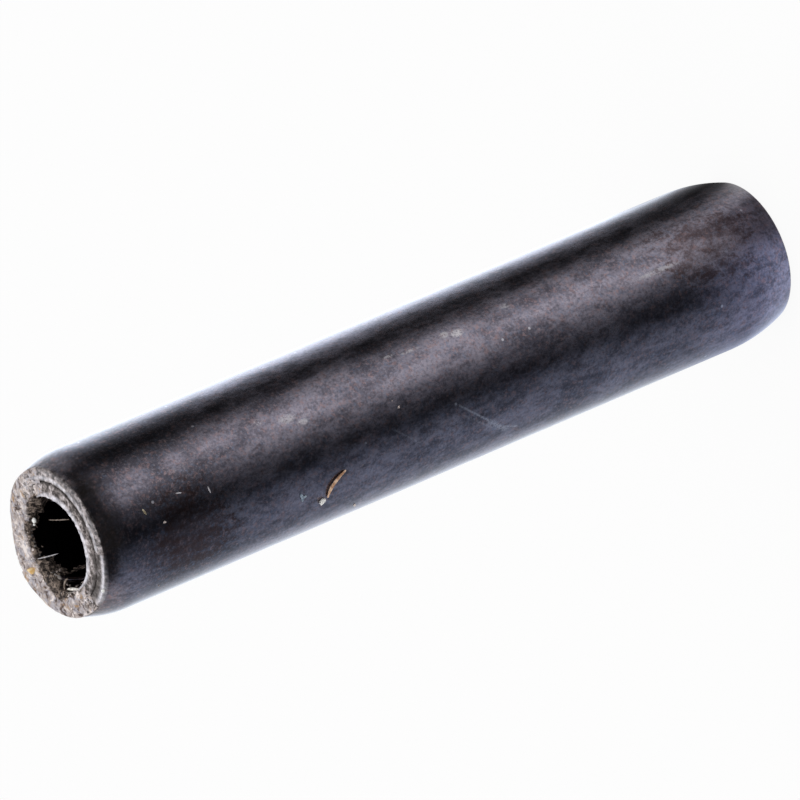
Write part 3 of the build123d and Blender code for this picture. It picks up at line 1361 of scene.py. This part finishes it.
@dataclass(frozen=True)
class Crumbs:
    """A handful of small rough crumbs, as one piece.

    Attributes:
        name: The piece's name.
        material: What they are made of.
        seed: Picks their shapes.
        rings: Rings of points on each, between its two poles.
        spokes: Points in each ring.
    """

    name: str
    material: bpy.types.Material
    seed: int
    rings: int = 5
    spokes: int = 8

    def build(self, crumbs: Sequence[Crumb]) -> bpy.types.Object:
        """Makes crumbs that were placed one by one."""
        return self.scatter(*np.array([astuple(crumb) for crumb in crumbs]).T)

    def _ball(self) -> tuple[np.ndarray, list[np.ndarray]]:
        """A plain ball of radius 1: a pole, the rings from the top down, and the other pole.

        Returns:
            Its points, and its faces: the quads of its sides, then each pole's triangles.
        """
        rise = np.linspace(0.0, np.pi, self.rings + 2)[1:-1, None]
        turn = np.linspace(0.0, 2 * np.pi, self.spokes, endpoint=False)
        ring = np.stack([np.sin(rise) * np.cos(turn), np.sin(rise) * np.sin(turn),
                         np.cos(rise) + 0 * turn], axis=-1).reshape(-1, 3)
        ball = np.concatenate([[[0, 0, 1]], ring, [[0, 0, -1]]])
        spoke = np.arange(self.spokes)
        after = (spoke + 1) % self.spokes
        sides = 1 + tube_faces(self.rings, self.spokes)[:, [0, 3, 2, 1]]
        last = 1 + (self.rings - 1) * self.spokes
        tops = np.stack([0 * spoke, 1 + spoke, 1 + after], axis=-1)
        feet = np.stack([0 * spoke + len(ball) - 1, last + after, last + spoke], axis=-1)
        return ball, [sides, tops, feet]

    def scatter(self, angle: np.ndarray, radius: np.ndarray, height: np.ndarray,
                size: np.ndarray, shade: np.ndarray) -> bpy.types.Object:
        """Makes a crumb at each place: a ball pushed in and out, squashed and turned.

        Args:
            angle: In degrees about +Z.
            radius: Distance from the axis.
            height: Along the pin.
            size: Across each crumb.
            shade: How light each is, from 0 to 1.

        Returns:
            The piece.
        """
        rng = np.random.default_rng(self.seed)
        count = len(angle)
        ball, parts = self._ball()
        rough = rng.uniform(0.72, 1.2, (count, len(ball), 1))
        squash = rng.uniform(0.6, 1.25, (count, 1, 3))
        axes = np.linalg.qr(rng.normal(size=(count, 3, 3)))[0]
        axes[:, :, 0] *= np.linalg.det(axes)[:, None]
        local = ball * rough * squash * size[:, None, None] / 2 @ np.swapaxes(axes, 1, 2)
        points = local + polar(angle, radius, height)[:, None, :]
        shift = np.arange(count)[:, None, None] * len(ball)
        faces = [face for part in parts
                 for face in (part + shift).reshape(-1, part.shape[1]).tolist()]
        piece = make_piece(self.name, points, faces, self.material)
        write_values(piece, SHADE, np.repeat(shade, len(ball)))
        return piece


@dataclass(frozen=True)
class Fibre:
    """A stray fibre through a few points.

    Attributes:
        name: The piece's name.
        finish: What it looks like.
        width: Across its middle.
        taper: How much thinner its ends are, from 0 to 1.
        through: Angles, radii and heights that a smooth curve passes through.
        stations: Rings of points along it.
        sides: Points in each ring.
    """

    name: str
    finish: Lint
    width: float
    taper: float
    through: tuple
    stations: int = 40
    sides: int = 8

    def build(self, material: bpy.types.Material) -> bpy.types.Object:
        """Makes the fibre: a thin closed tube along a curve, narrower at its ends.

        The curve runs through the points with the weights of Lagrange's formula.

        Args:
            material: What it is made of.

        Returns:
            The piece.
        """
        knots = polar(*np.array(self.through).T)
        at = np.linspace(0.0, 1.0, len(knots))
        share = np.linspace(0.0, 1.0, self.stations)

        def weight(own: float) -> np.ndarray:
            """Weight of the knot at a share of the way: 1 there, and 0 at the other knots."""
            terms = [(share - other) / (own - other) for other in at if other != own]
            return np.prod(terms, axis=0)[:, None]

        line = sum(knot * weight(own) for knot, own in zip(knots, at))
        along = unit(np.gradient(line, axis=0))
        side = unit(np.cross(along, [0.31, 0.17, 0.93]))
        over = np.cross(along, side)
        half = self.width / 2 * (1 - self.taper * (2 * share - 1) ** 2)
        half[[0, -1]] *= 0.3
        turn = np.linspace(0.0, 2 * np.pi, self.sides, endpoint=False)[:, None]
        ring = side[:, None, :] * np.cos(turn) + over[:, None, :] * np.sin(turn)
        points = line[:, None, :] + ring * half[:, None, None]
        first = np.arange(self.sides)
        last = first + (self.stations - 1) * self.sides
        faces = tube_faces(self.stations, self.sides).tolist()
        faces += [first[::-1].tolist(), last.tolist()]
        return make_piece(self.name, points, faces, material)


@dataclass(frozen=True)
class Dirt:
    """Everything loose on the pin: the crust, its crumbs, flecks on the body, and stray fibres.

    Attributes:
        coil: The roll that it sits on.
        amber: The amber grain on the crust.
        white: White crumbs on the crust and the body.
        flecks: Crumbs on the outside of the pin.
        fibres: The stray fibres.
        loose: How many small crumbs lie on the crust.
    """

    coil: Coil
    amber: tuple = (Crumb(103.6, 2.45, 32.10, 0.31, 0.0),)
    white: tuple = (
        Crumb(43.3, 1.45, 31.99, 0.19, 1.0), Crumb(52.0, 1.50, 31.95, 0.12, 1.0),
        Crumb(95.3, 2.17, 32.05, 0.09, 1.0), Crumb(216.2, 2.77, 31.98, 0.16, 1.0),
        Crumb(222.1, 3.21, 22.39, 0.23, 1.0),
    )
    flecks: tuple = (
        Crumb(254.9, 3.15, 29.33, 0.11, 0.62), Crumb(264.7, 3.15, 18.45, 0.11, 0.52),
        Crumb(270.1, 3.15, 18.61, 0.06, 0.40), Crumb(236.8, 3.15, 20.5, 0.05, 0.45),
        Crumb(205.0, 3.15, 29.6, 0.09, 0.55), Crumb(212.0, 3.10, 30.2, 0.07, 0.55),
        Crumb(201.0, 3.16, 20.6, 0.13, 0.8),
    )
    fibres: tuple = (
        Fibre("curled_fibre", Lint.TAN, 0.125, 0.55,
              ((238.8, 3.20, 21.30), (232.6, 3.24, 21.93), (223.3, 3.20, 22.15))),
        Fibre("forked_fleck_stem", Lint.BLUE, 0.12, 0.5,
              ((234.9, 3.165, 23.39), (231.8, 3.18, 23.31), (228.7, 3.165, 23.32))),
        Fibre("forked_fleck_arm", Lint.BLUE, 0.09, 0.5,
              ((231.6, 3.17, 23.31), (231.6, 3.18, 23.22), (232.0, 3.165, 23.12))),
        Fibre("bore_fibre_upper", Lint.FAINT, 0.045, 0.5,
              ((358.7, 0.87, 32.0), (318.0, 0.99, 32.0), (292.8, 1.54, 32.0))),
        Fibre("bore_fibre_lower", Lint.GREY, 0.045, 0.7,
              ((96.8, 2.02, 32.05), (105.9, 1.19, 32.02), (143.8, 0.47, 32.0))),
        Fibre("white_sliver", Lint.PALE, 0.12, 0.8,
              ((155.9, 1.85, 31.98), (168.0, 1.80, 31.98), (182.3, 1.86, 31.98))),
        Fibre("bore_curl", Lint.FAINT, 0.085, 0.5,
              ((161.6, 1.45, 31.95), (154.4, 1.54, 31.95), (150.1, 1.77, 31.95),
               (150.6, 1.91, 31.95))),
        Fibre("straw_fleck", Lint.STRAW, 0.085, 0.6,
              ((268.5, 3.14, 30.03), (266.5, 3.15, 30.00), (264.0, 3.14, 29.96))),
        Fibre("pale_fleck_near", Lint.GREY, 0.05, 0.5,
              ((269.4, 3.165, 28.50), (268.9, 3.17, 28.39), (268.4, 3.165, 28.28))),
        Fibre("pale_fleck_far", Lint.GREY, 0.055, 0.5,
              ((265.5, 3.165, 27.16), (263.3, 3.17, 27.16), (260.9, 3.165, 27.14))),
    )
    loose: int = 340

    def build(self, effects: Effects) -> list[bpy.types.Object]:
        """Makes all the loose pieces.

        Args:
            effects: The shared node groups.

        Returns:
            The pieces, for the pin's body to carry.
        """
        lint = {finish: finish.build(effects) for finish in Lint}
        crust = DirtCrust(self.coil, Grit("caked_dirt").build(effects))
        crumbs = Grit("dry_crumbs", by_crumb=True).build(effects)
        pieces = [
            crust.build(), self._scattered(crust, crumbs),
            Crumbs("amber_grain", lint[Lint.AMBER], seed=3).build(self.amber),
            Crumbs("white_crumbs", lint[Lint.WHITE], seed=4).build(self.white),
            Crumbs("body_flecks", crumbs, seed=5).build(self.flecks),
        ]
        return pieces + [fibre.build(lint[fibre.finish]) for fibre in self.fibres]

    def _scattered(self, crust: DirtCrust, material: bpy.types.Material) -> bpy.types.Object:
        """Small crumbs over the crust: most on the face, some on the bore's wall.

        Args:
            crust: What they lie on.
            material: What they are made of.

        Returns:
            The piece.
        """
        rng = np.random.default_rng(8)
        angle = np.clip(rng.normal(92.0, 42.0, self.loose), 2.0, 192.0)
        bore, rim = crust.walls(angle)
        on_face = rng.random(self.loose) < 0.7
        share = rng.random(self.loose)
        on_face = on_face | ((angle > 58.0) & (angle < 100.0))
        radius = np.where(on_face, bore + (rim - bore) * 0.92 * share, bore - 0.06 - 0.12 * share)
        deep = rng.random(self.loose) ** 1.5
        height = np.where(on_face, self.coil.length + 0.03, self.coil.length - 0.04 - 0.5 * deep)
        size = 0.035 + 0.09 * rng.random(self.loose) ** 2.5
        # Crumbs on the bore's wall get darker shades: painted shade of the bore.
        dry, bore_shade = 0.38 + 0.6 * rng.random(self.loose), 0.12 + 0.3 * rng.random(self.loose)
        shade = np.where(on_face, dry, bore_shade)
        return Crumbs("loose_crumbs", material, seed=6).scatter(angle, radius, height, size, shade)


# ---------------------------------------------------------------- the studio


@dataclass(frozen=True)
class CardTone:
    """The card's tone in one direction from the pin.

    Attributes:
        angle: The direction, in degrees about +Z.
        brightness: How bright the card is there, where 1 is white.
        cool: How bluish it is, from 0 to 1.
    """

    angle: float
    brightness: float
    cool: float = 0.0

    def colour(self, full: float) -> tuple[float, float, float, float]:
        """Its colour, as a share of the full brightness."""
        level = self.brightness / full
        return rgb(*(level * (1 + tint * self.cool) for tint in (-0.13, -0.01, 0.16)))


@dataclass(frozen=True)
class Lamp:
    """A square soft lamp that faces the pin.

    Attributes:
        name: The lamp's name.
        azimuth: Its direction from the pin, in degrees about +Z.
        elevation: Its height above the horizon, in degrees.
        distance: From the pin, in millimetres.
        size: The length of its side, in millimetres.
        radiance: How bright its face is, where 1 is white.
    """

    name: str
    azimuth: float
    elevation: float
    distance: float
    size: float
    radiance: float

    def build(self, middle: tuple) -> None:
        """Makes the lamp.

        Args:
            middle: The point that it faces, in millimetres.
        """
        turn, rise = math.radians(self.azimuth), math.radians(self.elevation)
        flat = math.cos(rise)
        towards = Vector((math.cos(turn) * flat, math.sin(turn) * flat, math.sin(rise)))
        light = bpy.data.lights.new(self.name, "AREA")
        light.shape = "SQUARE"
        light.size = self.size * MM
        light.energy = self.radiance * math.pi * (self.size * MM) ** 2
        lamp = bpy.data.objects.new(self.name, light)
        lamp.location = Vector(middle) * MM + towards * self.distance * MM
        lamp.rotation_euler = towards.to_track_quat("Z", "Y").to_euler()
        lamp.visible_camera = False
        bpy.context.scene.collection.objects.link(lamp)


@dataclass(frozen=True)
class Studio:
    """Pale floor, soft lamps, and a camera that looks down on the standing pin.

    Attributes:
        middle: The point that the camera aims at, in millimetres.
        elevation: Of the camera above the horizon, in degrees.
        lean: How far the pin's axis is turned from the picture's level, in degrees.
        distance: From the camera to the middle, in millimetres.
        field: Width of what the camera sees at the middle, in millimetres.
        shift_right: How far the middle lies to the right of the picture's centre, in millimetres.
        shift_up: How far it lies above the centre.
        reach: Half the floor's width, and the radius of the card.
        hole: Radius of the hole in the card, round the pin's axis.
        lift: From the floor up to the card.
        spokes: Points round each of the card's two edges.
        full_tone: The brightness that the card's full colour stands for.
        flag: Colour of the dark flag that hides the card far off to one side.
        back: The card's colour far off behind the pin.
        under: Its colours close to the pin: left, right, and nearest on the left.
        lamps: The soft lamps.
        tones: The brightness of the card that shiny surfaces see on the table.
    """

    middle: tuple
    elevation: float = 31.1
    lean: float = 22.92
    distance: float = 450.0
    field: float = 29.4
    shift_right: float = 0.274
    shift_up: float = 0.203
    reach: float = 1500.0
    hole: float = 0.3
    lift: float = 0.05
    spokes: int = 181
    full_tone: float = 4.0
    flag: tuple = rgb(0.018, 0.018, 0.022)
    back: tuple = rgb(0.25, 0.25, 0.25)
    under: tuple = (rgb(0.165, 0.183, 0.240), rgb(0.050, 0.046, 0.053), rgb(0.27, 0.30, 0.38))
    lamps: tuple = (
        Lamp("lamp_back", 90.0, 38.0, 380.0, 320.0, 0.9),
        Lamp("lamp_over", -60.0, 78.0, 320.0, 200.0, 2.4),
        Lamp("lamp_left", 175.0, 25.0, 380.0, 200.0, 0.9),
        Lamp("lamp_right", -10.0, 25.0, 380.0, 200.0, 0.7),
    )
    tones: tuple = (
        CardTone(-180.0, 0.60, 1.0), CardTone(-168.0, 0.52, 1.0), CardTone(-149.0, 0.36, 1.0),
        CardTone(-135.0, 0.26, 1.0), CardTone(-127.0, 0.13, 1.0), CardTone(-121.0, 0.068, 0.6),
        CardTone(-113.0, 0.080, 0.5), CardTone(-106.0, 0.14, 0.4), CardTone(-90.0, 0.36, 0.2),
        CardTone(-74.0, 0.90), CardTone(-60.0, 1.30), CardTone(-44.0, 1.15), CardTone(-27.0, 0.58),
        CardTone(-14.0, 0.11), CardTone(0.0, 0.035), CardTone(8.0, 0.10), CardTone(20.0, 0.34, 0.3),
        CardTone(32.0, 1.0, 0.6), CardTone(44.0, 2.3, 0.7), CardTone(60.0, 2.6, 0.7),
        CardTone(100.0, 1.6, 0.6), CardTone(135.0, 1.0, 0.6), CardTone(150.0, 0.75, 0.8),
        CardTone(180.0, 0.54, 1.0),
    )

    def build(self) -> None:
        """Builds everything round the pin."""
        self._floor()
        self._card()
        for lamp in self.lamps:
            lamp.build(self.middle)
        self._world()
        self._camera()
        bpy.context.scene.view_settings.view_transform = "Standard"

    def _floor(self) -> None:
        """Pale floor: white to the eye and to shiny surfaces, with a faint shadow of the pin."""
        corners = np.array([[-1, -1, 0], [1, -1, 0], [1, 1, 0], [-1, 1, 0]]) * self.reach
        material, nodes, surface = new_material("pale_floor")
        nodes.fill(surface, Base_Color=rgb(0.80, 0.80, 0.80), Roughness=0.9, Specular_IOR_Level=0.0)
        path = nodes.add("LightPath").outputs
        seen = nodes.larger(path["Is Camera Ray"],
                            nodes.larger(path["Is Glossy Ray"], path["Is Transmission Ray"]))
        glow = nodes.add("Emission", Strength=1.0)
        both = nodes.add("MixShader", Fac=nodes.times(seen, 0.93))
        nodes.feed(both.inputs[1], surface.outputs[0])
        nodes.feed(both.inputs[2], glow.outputs[0])
        show(material, nodes, both)
        make_piece("floor", corners, [[0, 1, 2, 3]], material)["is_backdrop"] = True

    def _ramp(self, nodes: Nodes, place: object) -> bpy.types.NodeSocket:
        """The card's colour by direction.

        Args:
            nodes: The card's nodes.
            place: The place on the card.

        Returns:
            The colour.
        """
        turn = nodes.add("TexGradient", {"gradient_type": "RADIAL"}, Vector=place)
        ramp = nodes.add("ValToRGB", Fac=turn.outputs["Fac"])
        elements = ramp.color_ramp.elements
        for number, tone in enumerate(self.tones):
            at = tone.angle / 360.0 + 0.5
            element = elements[number] if number in (0, 1) else elements.new(at)
            element.position = at
            element.color = tone.colour(self.full_tone)
        return ramp.outputs["Color"]

    def _card(self) -> None:
        """A flat ring that only shiny surfaces see: bright sheets with dark flags between."""
        angle = np.linspace(0.0, 360.0, self.spokes)
        radii = np.array([self.hole, self.reach])[:, None]
        material, nodes, surface = new_material("reflector_card")
        material.node_tree.nodes.remove(surface)
        ease = nodes.ease
        place = nodes.add("TexCoord").outputs["Object"]
        tone = self._ramp(nodes, place)
        out = nodes.vector("LENGTH", place).outputs["Value"]
        right, back, _ = nodes.add("SeparateXYZ", Vector=place).outputs
        sideways = nodes.maths("DIVIDE", right, out)
        far = nodes.coats(tone, (nodes.blend(ease(sideways, -0.35, -0.85), 0.62, 0.0), self.flag),
                          (ease(back, -0.03, 0.06), self.back))
        on_left, on_right, nearest = self.under
        close_left = nodes.times(ease(out, 0.0055, 0.0030), ease(sideways, 0.1, -0.4))
        below = nodes.coats(on_left, (ease(sideways, -0.3, 0.3), on_right), (close_left, nearest))
        near = nodes.times(nodes.times(ease(out, 0.011, 0.0045), ease(sideways, 0.85, 0.60)), 0.9)
        colour = nodes.coats(tone, (near, below), (ease(out, 0.045, 0.150), far))
        show(material, nodes, nodes.add("Emission", Color=colour, Strength=self.full_tone))
        points = polar(angle, radii, np.full((len(radii), self.spokes), self.lift))
        faces = grid_faces(len(radii), self.spokes)[:, ::-1]
        card = make_piece("reflector_card", points, faces, material)
        card.visible_camera = card.visible_diffuse = card.visible_shadow = False
        card.visible_transmission = card.visible_volume_scatter = False
        card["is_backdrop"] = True

    def _world(self) -> None:
        """Even pale surroundings, white behind the pin for shiny surfaces and dim before it."""
        world = bpy.data.worlds.new("surroundings")
        bpy.context.scene.world = world
        world.use_nodes = True
        nodes = Nodes(world.node_tree)
        path = nodes.add("LightPath").outputs
        way = nodes.add("SeparateXYZ", Vector=nodes.add("TexCoord").outputs["Generated"])
        shiny = nodes.blend(nodes.ease(way.outputs["Y"], -0.15, 0.45), 0.06, 0.95)
        seen = nodes.larger(path["Is Camera Ray"], path["Is Transmission Ray"])
        background = world.node_tree.nodes["Background"]
        background.inputs["Color"].default_value = rgb(1.0, 1.0, 1.0)
        nodes.feed(background.inputs["Strength"],
                   nodes.blend(path["Is Glossy Ray"], nodes.blend(seen, 0.55, 1.0), shiny))

    def _camera(self) -> None:
        """Long lens, above the pin, turned so that the pin's upper end points down to the left."""
        rise, turn = math.radians(self.elevation), math.radians(90.0 + self.lean)
        away = Vector((0.0, -math.cos(rise), math.sin(rise)))
        right, up = Vector((1.0, 0.0, 0.0)), Vector((0.0, math.sin(rise), math.cos(rise)))
        picture_right = math.cos(turn) * right - math.sin(turn) * up
        picture_up = math.sin(turn) * right + math.cos(turn) * up
        aim = Vector(self.middle) - picture_right * self.shift_right - picture_up * self.shift_up
        data = bpy.data.cameras.new("camera")
        data.lens = data.sensor_width * self.distance / self.field
        data.clip_start, data.clip_end = 0.01, 10.0
        camera = bpy.data.objects.new("camera", data)
        camera.matrix_world = Matrix.Translation((aim + away * self.distance) * MM) @ Matrix(
            (picture_right, picture_up, away)).transposed().to_4x4()
        bpy.context.scene.collection.objects.link(camera)
        bpy.context.scene.camera = camera


# ---------------------------------------------------------------- main


def main() -> None:
    """Builds the pin's pieces in order and reports each one."""
    logging.basicConfig(level=logging.INFO, format="%(message)s")
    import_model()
    low, high = (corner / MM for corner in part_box(CAD_NODE))
    coil = Coil(radius=(high.x - low.x) / 2, length=high.z)
    effects = Effects()

    strip = RolledStrip(coil, OxideSteel(coil).build(effects)).build()
    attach(strip, BODY)
    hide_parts(CAD_NODE)
    report_piece(strip)

    for piece in Dirt(coil).build(effects):
        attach(piece, BODY)
        report_piece(piece)

    Studio(middle=(0.0, 0.0, coil.length / 2)).build()
    low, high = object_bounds()


if __name__ == "__main__":
    main()
